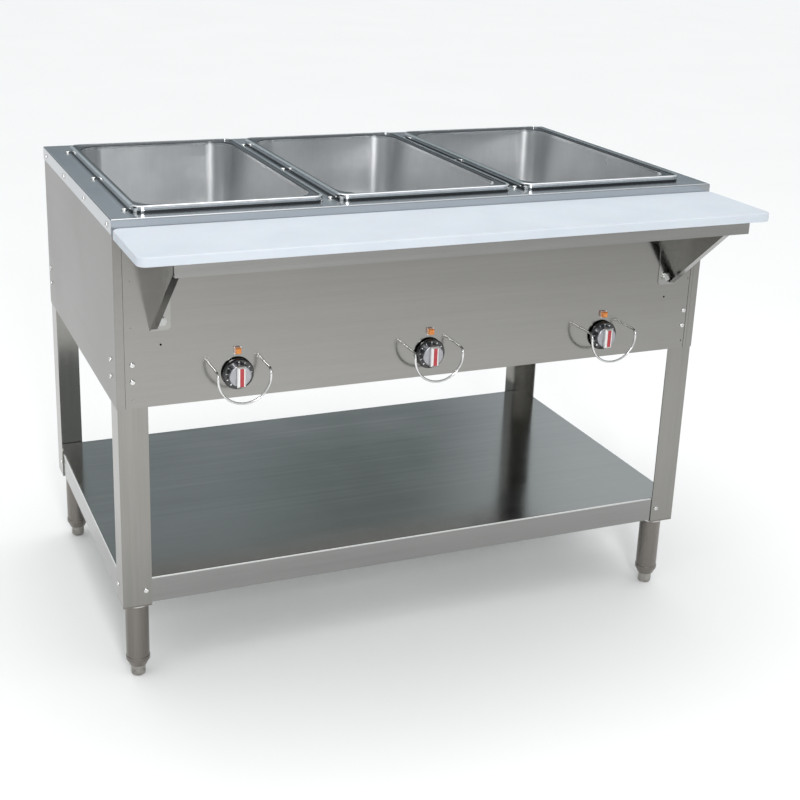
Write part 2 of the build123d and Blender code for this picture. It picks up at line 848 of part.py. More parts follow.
def make_control_switch(x):
    """Energy regulator behind the panel, its threaded bushing and nut at the front."""
    y0 = frame_front
    body = block(
        x - switch_width / 2,
        x + switch_width / 2,
        y0 + 1.0,
        y0 + 1.0 + switch_depth,
        knob_z - switch_height / 2,
        knob_z + switch_height / 2 - 12,
    )
    body = fillet(body.edges().filter_by(Axis.Y), 2.5)
    plate = block(x - 16, x + 16, y0, y0 + 1.0, knob_z - 19, knob_z + 8)
    bushing = rod_y(x, knob_z, bushing_radius, skin_front - nut_thickness - 0.6, y0 + 2)
    nut = extrude(RegularPolygon(7.0, 6, major_radius=False), nut_thickness)
    nut = Pos(x, skin_front, knob_z) * facing_front * nut
    blades = []
    for dx in (-14, -7, 7, 14):
        blade_y = y0 + 1.0 + switch_depth
        blades.append(block(x + dx - 3, x + dx + 3, blade_y - 1, blade_y + 9, knob_z - 8, knob_z - 7.2))
    body = body + plate + bushing + nut
    for blade in blades:
        body += blade
    body -= rod_y(x, knob_z, shaft_radius + running_gap, skin_front - 10, y0 + 1.0 + switch_depth * 0.7)
    return body


def make_knob_shaft(x):
    """Shaft from inside the switch to inside the knob, with a flat on its end."""
    y0 = frame_front + 1.0 + switch_depth * 0.7 - running_gap
    shaft = rod_y(x, knob_z, shaft_radius, skirt_front - 9.0, y0)
    flat = block(
        x + shaft_radius - 1.0,
        x + shaft_radius + 1.0,
        skirt_front - 10.0,
        skirt_front,
        knob_z - 5,
        knob_z + 5,
    )
    return shaft - flat


def shaft_socket(x):
    """Space the shaft takes inside the knob."""
    socket = rod_y(x, knob_z, shaft_radius, skirt_front - 9.0, skirt_back + 1)
    flat = block(
        x + shaft_radius - 1.0,
        x + shaft_radius + 1.0,
        skirt_front - 10.0,
        skirt_front,
        knob_z - 5,
        knob_z + 5,
    )
    return socket - flat


def make_knob_skirt(x):
    """Black dial skirt with a bevelled edge and a recess over the panel nut."""
    skirt = rod_y(x, knob_z, skirt_radius, skirt_front, skirt_back)
    rim_edge = skirt.edges().sort_by(Axis.Y)[0]
    skirt = chamfer(rim_edge, 3.2, 2.0)
    recess = rod_y(x, knob_z, skirt_radius - 3.5, skirt_back - 1.2, skirt_back + 1)
    return skirt - recess - shaft_socket(x)


def make_knob_grip(x):
    """Bright round grip with a raised bar across its face."""
    drum = rod_y(x, knob_z, grip_radius, grip_front, skirt_front)
    drum = fillet(drum.edges().sort_by(Axis.Y)[0], 2.2)
    bar = block(
        x - ridge_width / 2,
        x + ridge_width / 2,
        ridge_front,
        grip_front + 1,
        knob_z - grip_radius + 1.0,
        knob_z + grip_radius - 1.0,
    )
    bar_edges = bar.faces().sort_by(Axis.Y)[0].edges()
    bar = chamfer(bar_edges, 2.4)
    slot = block(
        x - pointer_width / 2,
        x + pointer_width / 2,
        ridge_front - 1,
        ridge_front + 0.8,
        knob_z - pointer_length / 2,
        knob_z + pointer_length / 2,
    )
    return drum + bar - slot - shaft_socket(x)


def make_knob_pointer(x):
    """Red strip let into the face of the grip bar."""
    return block(
        x - pointer_width / 2,
        x + pointer_width / 2,
        ridge_front - 0.3,
        ridge_front + 0.8,
        knob_z - pointer_length / 2,
        knob_z + pointer_length / 2,
    )


def make_knob_guard(x):
    """Bent wire guard: two arms out of the panel and a half ring round the knob."""
    y_in = frame_front + 5.0
    y_out = skin_front - guard_reach
    left = x - guard_half_width
    right = x + guard_half_width
    arm_in = Line((left, y_in, guard_z), (left, y_out + guard_bend, guard_z))
    bend_in = TangentArc(
        (left, y_out + guard_bend, guard_z), (left, y_out, guard_z - guard_bend), tangent=(0, -1, 0)
    )
    low_z = guard_z - guard_bend - guard_drop
    drop_in = Line((left, y_out, guard_z - guard_bend), (left, y_out, low_z))
    ring = ThreePointArc(
        (left, y_out, low_z), (x, y_out, low_z - guard_half_width), (right, y_out, low_z)
    )
    drop_out = Line((right, y_out, low_z), (right, y_out, guard_z - guard_bend))
    bend_out = TangentArc(
        (right, y_out, guard_z - guard_bend), (right, y_out + guard_bend, guard_z), tangent=(0, 0, 1)
    )
    arm_out = Line((right, y_out + guard_bend, guard_z), (right, y_in, guard_z))
    path = Wire([arm_in, bend_in, drop_in, ring, drop_out, bend_out, arm_out])
    section = Plane(origin=(left, y_in, guard_z), z_dir=(0, -1, 0)) * Circle(guard_wire)
    guard = sweep(section, path=path)
    for side_x in (left, right):
        guard += rod_y(side_x, guard_z, 5.0, frame_front, frame_front + 2.5)
    return guard


def make_indicator_lenses():
    """Amber lens over each knob."""
    lenses = []
    z = knob_z + light_rise
    for x in well_centres:
        lens = block(
            x - lens_size / 2,
            x + lens_size / 2,
            skin_front - bezel_thickness - lens_height,
            skin_front - bezel_thickness,
            z - lens_size / 2,
            z + lens_size / 2,
        )
        lens = fillet(lens.faces().sort_by(Axis.Y)[0].edges(), 1.6)
        lenses.append(lens)
    return Compound(lenses)


def make_indicator_bezels():
    """Metal bezel and lamp body of each indicator."""
    bezels = []
    z = knob_z + light_rise
    for x in well_centres:
        plate = block(
            x - bezel_size / 2,
            x + bezel_size / 2,
            skin_front - bezel_thickness,
            skin_front,
            z - bezel_size / 2,
            z + bezel_size / 2,
        )
        plate = fillet(plate.edges().filter_by(Axis.Y), 1.5)
        stem = rod_y(x, z, lamp_radius, skin_front - 0.5, frame_front + 14)
        clip = rod_y(x, z, 6.5, frame_front, frame_front + 1.6)
        bezels.append(plate + stem + clip)
    return Compound(bezels)


# ---------------------------------------------------------------- supply
def make_cable_gland():
    """Strain relief where the supply cable comes up through the cabinet floor."""
    floor_z = body_bottom + sheet
    body = rod_z(gland_x, gland_y, gland_body_radius, floor_z - 8, floor_z + sheet + 10)
    nut = Pos(gland_x, gland_y, floor_z + sheet) * extrude(
        RegularPolygon(13.5, 6, major_radius=False), 5.0
    )
    shoulder = rod_z(gland_x, gland_y, 14.0, floor_z - 4, floor_z)
    cap = Pos(gland_x, gland_y, floor_z - 13) * Cone(7.5, 12.5, 10)
    gland = body + nut + shoulder + cap
    gland -= rod_z(gland_x, gland_y, cable_hole_radius, floor_z - 30, floor_z + 30)
    return gland


def make_terminal_block():
    """Five way terminal block on the cabinet floor."""
    z0 = body_bottom + 2 * sheet
    x0 = gland_x - 90
    y0 = gland_y - 15
    base = block(x0, x0 + 66, y0, y0 + 30, z0, z0 + 9)
    for i in range(6):
        wall_x = x0 + i * 12.8
        base += block(wall_x, wall_x + 2, y0, y0 + 30, z0, z0 + 20)
    for i in range(5):
        mid_x = x0 + 7.4 + i * 12.8
        for dy in (8, 22):
            base += rod_z(mid_x, y0 + dy, 3.0, z0 + 8, z0 + 13)
    return base


# ---------------------------------------------------------------- screws
def make_well_screws():
    """Bright domed screws that hold each well under the top sheet."""
    screws = []
    for x in well_centres:
        for y in well_screw_rows:
            screw = domed_screw(well_screw_radius, 3.4, 8.0)
            screws.append(Pos(x - well_screw_offset, y, top) * screw)
    return Compound(screws)


def make_body_screws():
    """Screws along both side skirts, and those that hold the skins to the legs."""
    screws = []
    for y in top_screw_rows:
        screw = domed_screw(screw_head_radius, screw_head_height, 7.0)
        screws.append(Pos(-half_width, y, top_screw_z) * facing_left * screw)
        screws.append(Pos(half_width, y, top_screw_z) * facing_right * screw)
    for z in side_screw_z:
        for side in (-1, 1):
            screw = domed_screw(screw_head_radius, screw_head_height, 7.0)
            screws.append(Pos(side * front_screw_x, skin_front, z) * facing_front * screw)
            turn = facing_left if side < 0 else facing_right
            for y in side_screw_rows:
                screws.append(Pos(side * skin_x, y, z) * turn * screw)
    return Compound(screws)


def make_shelf_screws():
    """Screws that hold the shelf lip to the legs."""
    screws = []
    for name, sx, sy in corners:
        screw = domed_screw(screw_head_radius, screw_head_height, 7.0)
        face_y = frame_front if sy < 0 else frame_back
        turn_y = facing_front if sy < 0 else Rot(-90, 0, 0)
        screws.append(Pos(sx * shelf_screw_x, face_y, shelf_screw_z) * turn_y * screw)
        turn_x = facing_left if sx < 0 else facing_right
        y = face_y - sy * (leg_width - leg_edge_gap)
        screws.append(Pos(sx * frame_x, y, shelf_screw_z) * turn_x * screw)
    return Compound(screws)


# ---------------------------------------------------------------- build every piece
save(make_top_panel(), "top_panel")
save(make_front_panel(), "front_panel")
save(make_back_panel(), "back_panel")
save(make_side_panel(-1), "side_panel_left")
save(make_side_panel(1), "side_panel_right")
save(make_bottom_panel(), "bottom_panel")

for name, sx, sy in corners:
    save(make_leg(sx, sy), "leg_" + name)
    save(make_foot(sx, sy), "foot_" + name)

save(make_undershelf(), "undershelf")
save(make_foot_tubes(), "foot_tubes")
save(make_foot_collars(), "foot_collars")

for number, x in enumerate(well_centres, start=1):
    tail = "_" + str(number)
    save(make_pan(x), "pan" + tail)
    save(make_well_liner(x), "well_liner" + tail)
    save(make_heating_element(x), "heating_element" + tail)
    save(make_control_switch(x), "control_switch" + tail)
    save(make_knob_shaft(x), "knob_shaft" + tail)
    save(make_knob_skirt(x), "knob_skirt" + tail)
    save(make_knob_grip(x), "knob_grip" + tail)
    save(make_knob_pointer(x), "knob_pointer" + tail)
    save(make_knob_guard(x), "knob_guard" + tail)

save(make_element_clips(), "element_clips")
save(make_insulation(), "well_insulation")
save(make_indicator_lenses(), "indicator_lenses")
save(make_indicator_bezels(), "indicator_bezels")

save(make_cutting_board(), "cutting_board")
save(make_board_shelf(), "board_shelf")
save(make_board_pins(), "board_pins")
save(make_board_bracket(-1), "board_bracket_left")
save(make_board_bracket(1), "board_bracket_right")
save(make_bracket_bolts(), "bracket_bolts")

save(make_cable_gland(), "cable_gland")
save(make_terminal_block(), "terminal_block")
save(make_well_screws(), "well_screws")
save(make_body_screws(), "body_screws")
save(make_shelf_screws(), "shelf_screws")
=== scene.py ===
# %% [markdown]
# # A steam table for a food stall
#
# The object is a stainless cabinet with three deep pans, three guarded knobs, a
# white cutting board along its front, a tray shelf below and four legs on
# adjustable feet. Its exact shape comes from a measured model. This lesson gives
# that model its finishes, adds the small things that a measured model leaves out,
# and lights it.
#
# The measured model is loaded first, because every added piece takes its place
# from it. Each part of the model is a *node*, and each moving group is a *body*.

# %% Load the measured model
import math

import bmesh
import bpy
from mathutils import Matrix, Vector


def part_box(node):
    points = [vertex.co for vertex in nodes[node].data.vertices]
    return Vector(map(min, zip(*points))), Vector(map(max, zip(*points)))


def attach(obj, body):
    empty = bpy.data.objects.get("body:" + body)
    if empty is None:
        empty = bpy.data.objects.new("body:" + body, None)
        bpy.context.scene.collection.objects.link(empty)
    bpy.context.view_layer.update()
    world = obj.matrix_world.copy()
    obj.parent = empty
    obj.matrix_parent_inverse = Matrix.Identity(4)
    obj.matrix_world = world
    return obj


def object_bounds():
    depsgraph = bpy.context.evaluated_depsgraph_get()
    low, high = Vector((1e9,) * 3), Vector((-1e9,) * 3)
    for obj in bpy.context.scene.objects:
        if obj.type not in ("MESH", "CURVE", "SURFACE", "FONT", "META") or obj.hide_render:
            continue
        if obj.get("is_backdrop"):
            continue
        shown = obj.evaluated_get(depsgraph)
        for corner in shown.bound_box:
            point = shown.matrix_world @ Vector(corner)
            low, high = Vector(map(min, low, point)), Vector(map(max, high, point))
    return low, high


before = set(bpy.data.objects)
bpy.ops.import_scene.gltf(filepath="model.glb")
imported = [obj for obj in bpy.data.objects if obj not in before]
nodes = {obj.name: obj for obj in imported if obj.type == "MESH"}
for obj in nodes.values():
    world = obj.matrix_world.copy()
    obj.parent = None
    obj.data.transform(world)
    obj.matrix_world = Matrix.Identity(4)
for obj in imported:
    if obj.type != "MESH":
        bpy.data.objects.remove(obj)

mm = 0.001
measured_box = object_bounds()
measured_size = measured_box[1] - measured_box[0]
print("loaded", len(nodes), "nodes; size in mm:", [round(v / mm) for v in measured_size])

# %% [markdown]
# ## The camera
#
# A catalogue view: the camera stands to the front left, a little above the pans,
# and looks down on the table. It could be aimed with a constraint, but writing its
# place and its three turns keeps the upright legs leaning exactly as a real lens
# would show them. The lens is long, so the far end shrinks only a little.

# %% Put the camera in place
camera_place = Vector((-0.98019, -2.30036, 1.34901))
heading, downward, lean = (math.radians(a) for a in (22.459, 18.331, 1.770))

ahead_level = Vector((math.sin(heading), math.cos(heading), 0))
right_level = Vector((math.cos(heading), -math.sin(heading), 0))
ahead = ahead_level * math.cos(downward) - Vector((0, 0, math.sin(downward)))
above = Vector((0, 0, math.cos(downward))) + ahead_level * math.sin(downward)
right = right_level * math.cos(lean) + above * math.sin(lean)
above = above * math.cos(lean) - right_level * math.sin(lean)

lens = bpy.data.cameras.new("view")
lens.lens, lens.sensor_width = 60.994, 36
lens.shift_x, lens.shift_y = 0.0427, -0.0792
lens.clip_end = 200
camera = bpy.data.objects.new("view", lens)
turn = Matrix((right, above, -ahead)).transposed()
camera.matrix_world = Matrix.Translation(camera_place) @ turn.to_4x4()
bpy.context.collection.objects.link(camera)
bpy.context.scene.camera = camera
table_middle = Vector((0, 0, 0.5))
print("camera stands", round((camera_place - table_middle).length, 2), "m from the table")

# %% [markdown]
# ## A way to write finishes
#
# A finish is a small network of nodes. Linking them by hand hides the sums behind
# pages of plumbing, so two helpers turn them into plain Python. `Link` wraps one
# output socket, and its operators add Math nodes, so `0.3 + 0.2 * grain` makes the
# network by itself. `Finish` owns one material: its `node` method makes any other
# node from a type, its settings and its sockets.

# %% Wrap a socket so that sums read as sums
class Link:
    def __init__(self, finish, socket):
        self.finish, self.socket = finish, socket

    def maths(self, operation, a, b):
        return self.finish.node("Math", {"operation": operation}, {0: a, 1: b})

    def __add__(self, other):
        return self.maths("ADD", self, other)

    def __radd__(self, other):
        return self.maths("ADD", other, self)

    def __sub__(self, other):
        return self.maths("SUBTRACT", self, other)

    def __rsub__(self, other):
        return self.maths("SUBTRACT", other, self)

    def __mul__(self, other):
        return self.maths("MULTIPLY", self, other)

    def __rmul__(self, other):
        return self.maths("MULTIPLY", other, self)

    def __abs__(self):
        return self.maths("ABSOLUTE", self, 0)


print("a socket now adds, subtracts and multiplies")


# %% Own a material and make its nodes
class Finish:
    def __init__(self, name, **constants):
        self.material = bpy.data.materials.new(name)
        self.material.use_nodes = True
        self.tree = self.material.node_tree
        self.shader = self.tree.nodes["Principled BSDF"]
        for socket, value in constants.items():
            self.shader.inputs[socket.replace("_", " ")].default_value = value

    def put(self, socket, value):
        if isinstance(value, Link):
            self.tree.links.new(value.socket, socket)
        else:
            socket.default_value = value

    def node(self, kind, settings=None, sockets=None, out=0):
        made = self.tree.nodes.new("ShaderNode" + kind)
        for name, value in (settings or {}).items():
            if name == "stops":
                while len(made.color_ramp.elements) < len(value):
                    made.color_ramp.elements.new(0.5)
                for element, (position, colour) in zip(made.color_ramp.elements, value):
                    element.position, element.color = position, colour
            else:
                setattr(made, name, value)
        for name, value in (sockets or {}).items():
            self.put(made.inputs[name], value)
        return Link(self, made.outputs[out])

    def place(self, stretch=(1, 1, 1)):
        """Where a point is on the object, in metres, stretched along each axis."""
        at = self.node("TexCoord", out=3)
        return self.node("VectorMath", {"operation": "MULTIPLY"}, {0: at, 1: stretch})

    def noise(self, stretch, scale=1.0, detail=2.0, rough=0.5):
        sockets = {"Vector": self.place(stretch), "Scale": scale}
        sockets |= {"Detail": detail, "Roughness": rough}
        return self.node("TexNoise", None, sockets)

    def between(self, mask, low, high, a=0.0, b=1.0):
        """Moves a mask from the range low to high into the range a to b, and clamps it."""
        sockets = {0: mask, 1: low, 2: high, 3: a, 4: b}
        return self.node("MapRange", {"clamp": True}, sockets)

    def blend(self, mask, a, b):
        """Colour a where the mask is 0 and colour b where it is 1."""
        full = lambda c: c if isinstance(c, Link) else (*c, 1.0)
        sockets = {0: mask, 6: full(a), 7: full(b)}
        return self.node("Mix", {"data_type": "RGBA"}, sockets, out=2)

    def bump(self, height, distance, strength=1.0, under=None):
        sockets = {"Height": height, "Distance": distance, "Strength": strength}
        if under is not None:
            sockets["Normal"] = under
        return self.node("Bump", None, sockets)

    def feed(self, **sockets):
        for name, value in sockets.items():
            self.put(self.shader.inputs[name.replace("_", " ")], value)
        return self.material


print("finishes are ready to be written")


# %% [markdown]
# ## Brushed stainless steel
#
# Brushed sheet is pulled past an abrasive belt, so its scratches all run one way.
# An image could carry them, but a stretched noise is sharper and never repeats: the
# noise is squeezed across the grain and drawn out along it. Three sizes are mixed,
# as on the real sheet: fine scratches, broad streaks, and cloudy patches from
# hands and wiping. The streaks also change the roughness, and a very long, very
# shallow wave makes the reflections sway, because thin sheet is never truly flat.
# Where a sheet folds over an edge, a painted highlight brightens the bend and painted
# shade darkens the lip below it, so a fold height may be given. Real metal reflects a
# little less just before a grazing view than the plain formula says. The shader's
# specular tint gives that dip, and graze is how much is left there, chosen for the
# side panels.

# %% Brushed steel, with its grain along a chosen axis
black = (0.0, 0.0, 0.0)
# Colour of the painted highlight on folded bends.
bend_highlight_steel = (0.90, 0.90, 0.88)


def brushed(name, grain, dark, light, rough=0.13, wave=1.0, cloud=1.0, fold=None,
            graze=1.0):
    f = Finish(name, Metallic=1.0, Specular_Tint=(graze, graze, graze, 1))
    axis = "xyz".index(grain)
    along = lambda slow, fast: tuple(slow if k == axis else fast for k in range(3))
    scratch = f.noise(along(9, 1500), detail=3.0, rough=0.7)
    streak = f.noise(along(1.3, 90), detail=3.0, rough=0.6)
    patch = f.noise((5, 5, 5), detail=3.0, rough=0.55)
    smear = f.between(f.noise((2.2, 2.2, 2.2), detail=2.0), 0.45, 0.7)
    tone = f.between(0.45 * scratch + 0.35 * streak + 0.20 * patch, 0.36, 0.64)
    colour = f.blend(tone, dark, light)
    if fold:
        height = f.node("SeparateXYZ", None, {0: f.place()}, out=2)
        # Painted shade: the lip below the bend is darkened.
        lip = f.between(height, fold - 2.0 * mm, fold - 4.0 * mm)
        colour = f.blend(0.40 * lip, colour, black)
        # Painted highlight: a bright line along the rounded bend.
        under_bend = f.between(height, fold - 2.6 * mm, fold - 2.0 * mm)
        over_bend = f.between(height, fold - 0.2 * mm, fold - 0.7 * mm)
        colour = f.blend(under_bend * over_bend, colour, bend_highlight_steel)
    gloss = f.between(streak, 0.3, 0.7, rough - 0.015, rough + 0.02)
    handled = 0.04 * cloud
    gloss = gloss + handled * f.between(patch, 0.4, 0.7) + handled * smear + 0.02 * scratch
    sway = f.noise(along(2.4, 4.1), detail=1.0)
    bent = f.bump(sway, 1.0 * mm * wave)
    scratched = f.bump(scratch, 0.004 * mm, 0.5, under=bent)
    return f.feed(Base_Color=colour, Roughness=gloss, Normal=scratched)


# One stainless steel, but the cabinet panels and legs get darker tones and the top, shelf and
# folded parts lighter ones: painted light and shade for how light and reflection fall on each
# part. The top's blue is a painted reflection of the room.
cabinet_tones = (0.262, 0.256, 0.242), (0.300, 0.293, 0.278)
leg_tones = (0.248, 0.242, 0.226), (0.296, 0.289, 0.272)
folded_tones = (0.315, 0.312, 0.300), (0.370, 0.366, 0.352)
top_tones = (0.455, 0.475, 0.495), (0.515, 0.535, 0.555)
shelf_tones = (0.430, 0.430, 0.420), (0.490, 0.490, 0.480)
shelf_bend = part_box("undershelf")[1].z

cabinet_x = brushed("cabinet_steel_across", "x", *cabinet_tones)
cabinet_y = brushed("cabinet_steel_front_to_back", "y", *cabinet_tones, rough=0.17, graze=0.78)
cabinet_z = brushed("leg_steel", "z", *leg_tones, rough=0.14)
folded_steel = brushed("folded_steel", "x", *folded_tones, rough=0.17)
top_steel = brushed("top_steel", "x", *top_tones, rough=0.15, cloud=1.3)
shelf_steel = brushed("shelf_steel", "x", *shelf_tones, rough=0.11, wave=1.3, fold=shelf_bend)
print("brushed steel in six cuts")

# %% [markdown]
# ## Pressed pans
#
# A pan is drawn from flat sheet by a press, which leaves a satin wall with faint
# upright draw lines. The rolled bead round its rim is buffed, which lowers its
# roughness, and its brighter colour is a painted highlight. The flat of the flange
# inside the bead and the foot of the rim's outer side look nearly black, probably
# because they mirror dark surroundings. A dark band in the colour, a painted
# reflection, stands for that here. It is simpler than dark walls in the room, but it
# stays put when the view moves. One finish does it all, with masks made from where a
# point is: its height tells bead from flange, and its distance from the pan's middle
# tells the outer side from the wall. Each pan gets its own copy, because its middle
# differs.

# %% Satin pans with a buffed bead under a painted highlight, and dark bands of painted reflection
satin_tones = (0.61, 0.615, 0.62), (0.70, 0.705, 0.71)
# The bead's colour, brighter than the satin, is a painted highlight; the buffing itself lowers the
# roughness below.
buffed_highlight_steel = (0.84, 0.85, 0.86)
dark_band = (0.085, 0.09, 0.095)
outer_side = 4.0 * mm


def pressed_pan(name, node):
    low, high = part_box(node)
    mid, half = (low + high) / 2, (high - low) / 2
    f = Finish(name, Metallic=1.0)
    x, y, z = (f.node("SeparateXYZ", None, {0: f.place()}, out=k) for k in range(3))
    beyond_x = abs(x - mid.x) - (half.x - outer_side)
    beyond_y = abs(y - mid.y) - (half.y - outer_side)
    beyond = f.node("Math", {"operation": "MAXIMUM"}, {0: beyond_x, 1: beyond_y})
    edge = f.between(beyond, 0.0, 0.6 * mm)
    below = high.z - z
    # Mask of the bead: buffed, and carrying the painted highlight.
    buffed_and_highlit = f.between(below, 10.0 * mm, 4.0 * mm)
    under_bead = f.between(below, 0.9 * mm, 1.4 * mm)
    over_wall = f.between(below, 4.6 * mm, 3.8 * mm)
    outer_foot = f.between(below, 7.0 * mm, 7.8 * mm)
    bands = under_bead * over_wall * (1 - edge) + edge * outer_foot
    draw = f.noise((200, 200, 7), detail=2.0, rough=0.5)
    cloudy = f.noise((8, 8, 8), detail=4.0, rough=0.6)
    satin = f.blend(f.between(0.15 * draw + 0.85 * cloudy, 0.35, 0.65), *satin_tones)
    satin_with_bead_highlight = f.blend(buffed_and_highlit, satin, buffed_highlight_steel)
    gloss = f.between(cloudy, 0.3, 0.7, 0.27, 0.33) + 0.01 * draw
    pressed = f.bump(cloudy, 0.6 * mm)
    return f.feed(
        Base_Color=f.blend(bands, satin_with_bead_highlight, dark_band),
        Roughness=gloss * (1 - 0.6 * buffed_and_highlit),
        Normal=f.bump(draw, 0.002 * mm, 0.3, under=pressed),
    )


# %% [markdown]
# ## Zinc, oxide and mineral wool
#
# The pieces inside the cabinet have finishes of their own. Zinc coating freezes
# into flat crystals, which a Voronoi pattern gives in one node: each cell takes its
# own shade. The heating elements are dark from the heat, with a fine scale on the
# surface. The wool boards are a tangle of fibres, two noises crossed.

# %% Finishes inside the cabinet
zinc = Finish("galvanised_sheet", Metallic=1.0)
crystal = zinc.node("TexVoronoi", None, {"Vector": zinc.place(), "Scale": 130.0}, out=1)
shade = zinc.node("SeparateColor", None, {0: crystal})
frost = zinc.noise((60, 60, 60), detail=4.0)
galvanised = zinc.feed(
    Base_Color=zinc.blend(0.7 * shade + 0.3 * frost, (0.42, 0.44, 0.46), (0.66, 0.68, 0.69)),
    Roughness=zinc.between(shade, 0.0, 1.0, 0.34, 0.52),
    Normal=zinc.bump(shade, 0.04 * mm, 0.5),
)

oxide = Finish("heated_sheath", Metallic=1.0)
flakes = oxide.noise((380, 380, 380), detail=5.0, rough=0.7)
heat = oxide.between(oxide.noise((14, 14, 14), detail=3.0), 0.35, 0.65)
element_sheath = oxide.feed(
    Base_Color=oxide.blend(heat, (0.10, 0.085, 0.075), (0.24, 0.20, 0.17)),
    Roughness=oxide.between(flakes, 0.3, 0.7, 0.42, 0.68),
    Normal=oxide.bump(flakes, 0.08 * mm, 0.6),
)

wool = Finish("mineral_wool", Roughness=0.95, Sheen_Weight=0.25)
fibre_a = wool.noise((40, 900, 500), detail=4.0, rough=0.7)
fibre_b = wool.noise((900, 50, 500), detail=4.0, rough=0.7)
tangle = 0.5 * fibre_a + 0.5 * fibre_b
tuft = wool.between(tangle, 0.35, 0.65)
mineral_wool = wool.feed(
    Base_Color=wool.blend(tuft, (0.50, 0.43, 0.22), (0.84, 0.78, 0.56)),
    Normal=wool.bump(tangle, 1.2 * mm, 0.9),
)
print("three finishes for the inside")

# %% [markdown]
# ## Tube, feet and bright parts
#
# The foot tubes are drawn, so their grain runs up them. The feet are turned on a
# lathe, which leaves rings: a noise squeezed along the height makes them. Screws,
# guards and pins are bright, with nothing but tiny handling marks. The two bracket
# bolts are plated with zinc, which is greyer and has a soft bloom.

# %% Tubes, turned feet and bright metal
tube_tones = (0.180, 0.163, 0.149), (0.255, 0.238, 0.220)
tube_steel = brushed("tube_steel", "z", *tube_tones, rough=0.20, wave=0.3)

foot = Finish("turned_foot", Metallic=1.0)
rings = foot.noise((14, 14, 1900), detail=2.0)
grime = foot.noise((70, 70, 70), detail=4.0)
turned_foot = foot.feed(
    Base_Color=foot.blend(foot.between(grime, 0.4, 0.7), (0.40, 0.385, 0.36), (0.29, 0.275, 0.25)),
    Roughness=foot.between(grime, 0.3, 0.7, 0.26, 0.42) + 0.05 * rings,
    Normal=foot.bump(rings, 0.03 * mm, 0.6),
)

bright = Finish("bright_metal", Metallic=1.0)
scuffs = bright.noise((420, 420, 420), detail=4.0, rough=0.65)
bright_metal = bright.feed(
    Base_Color=bright.blend(scuffs, (0.62, 0.62, 0.61), (0.76, 0.76, 0.75)),
    Roughness=bright.between(scuffs, 0.35, 0.7, 0.14, 0.28),
    Normal=bright.bump(scuffs, 0.02 * mm, 0.4),
)

plated = Finish("bolt_zinc_plate", Metallic=1.0)
bloom = plated.noise((260, 260, 260), detail=4.0, rough=0.65)
bolt_plate = plated.feed(
    Base_Color=plated.blend(bloom, (0.38, 0.385, 0.375), (0.55, 0.555, 0.54)),
    Roughness=plated.between(bloom, 0.35, 0.7, 0.22, 0.38),
    Normal=plated.bump(bloom, 0.03 * mm, 0.5),
)
print("tube, foot, bright and plated finishes")

# %% [markdown]
# ## The cutting board
#
# The board is white polyethylene. It is matt, slightly see-through at the surface,
# and its faces carry a fine moulded grain. A little light scatters inside it, so a
# small subsurface value is better than plain white. Use leaves shallow knife lines:
# long thin noise at two angles, kept faint because this board is nearly new.

# %% White board plastic
board = Finish("board_plastic", Subsurface_Weight=0.12, Subsurface_Scale=0.004, IOR=1.50)
pebble = board.noise((900, 900, 900), detail=3.0, rough=0.6)
mottle = board.noise((11, 11, 11), detail=3.0)
cut_a = board.between(board.noise((9, 420, 20), detail=1.0), 0.70, 0.78)
cut_b = board.between(board.noise((300, 14, 20), detail=1.0), 0.72, 0.80)
cuts = 0.6 * cut_a + 0.4 * cut_b
white_tones = (0.572, 0.617, 0.668), (0.604, 0.647, 0.698)
base_white = board.blend(board.between(mottle, 0.35, 0.65), *white_tones)
board_plastic = board.feed(
    Base_Color=board.blend(0.10 * cuts, base_white, (0.56, 0.57, 0.57)),
    Roughness=board.between(pebble, 0.3, 0.7, 0.42, 0.56),
    Normal=board.bump(pebble - 0.5 * cuts, 0.06 * mm, 0.6),
)
print("board plastic done")

# %% [markdown]
# ## Knobs, lights and small plastics
#
# The skirts are glossy black plastic with faint moulding ripple. The grips are
# aluminium turned on a lathe, so the fine rings on their faces are centred on each
# knob: the distance from the knob's axis drives a fine noise. The raised bar across
# each grip is brighter, and its height picks it out. The amber lenses are clear
# plastic, moulded with upright ribs, and a faint painted glow in their emission
# stands for the light that passes through them.

# %% Knob and light finishes
skirt = Finish("skirt_black", Coat_Weight=0.6, Coat_Roughness=0.06)
dust = skirt.noise((240, 240, 240), detail=5.0, rough=0.7)
settled = skirt.between(dust, 0.5, 0.8)
skirt_black = skirt.feed(
    Base_Color=skirt.blend(settled, (0.006, 0.006, 0.007), (0.030, 0.030, 0.031)),
    Roughness=skirt.between(dust, 0.3, 0.7, 0.10, 0.22),
    Normal=skirt.bump(dust, 0.04 * mm, 0.4),
)

bar_height = 8.0 * mm


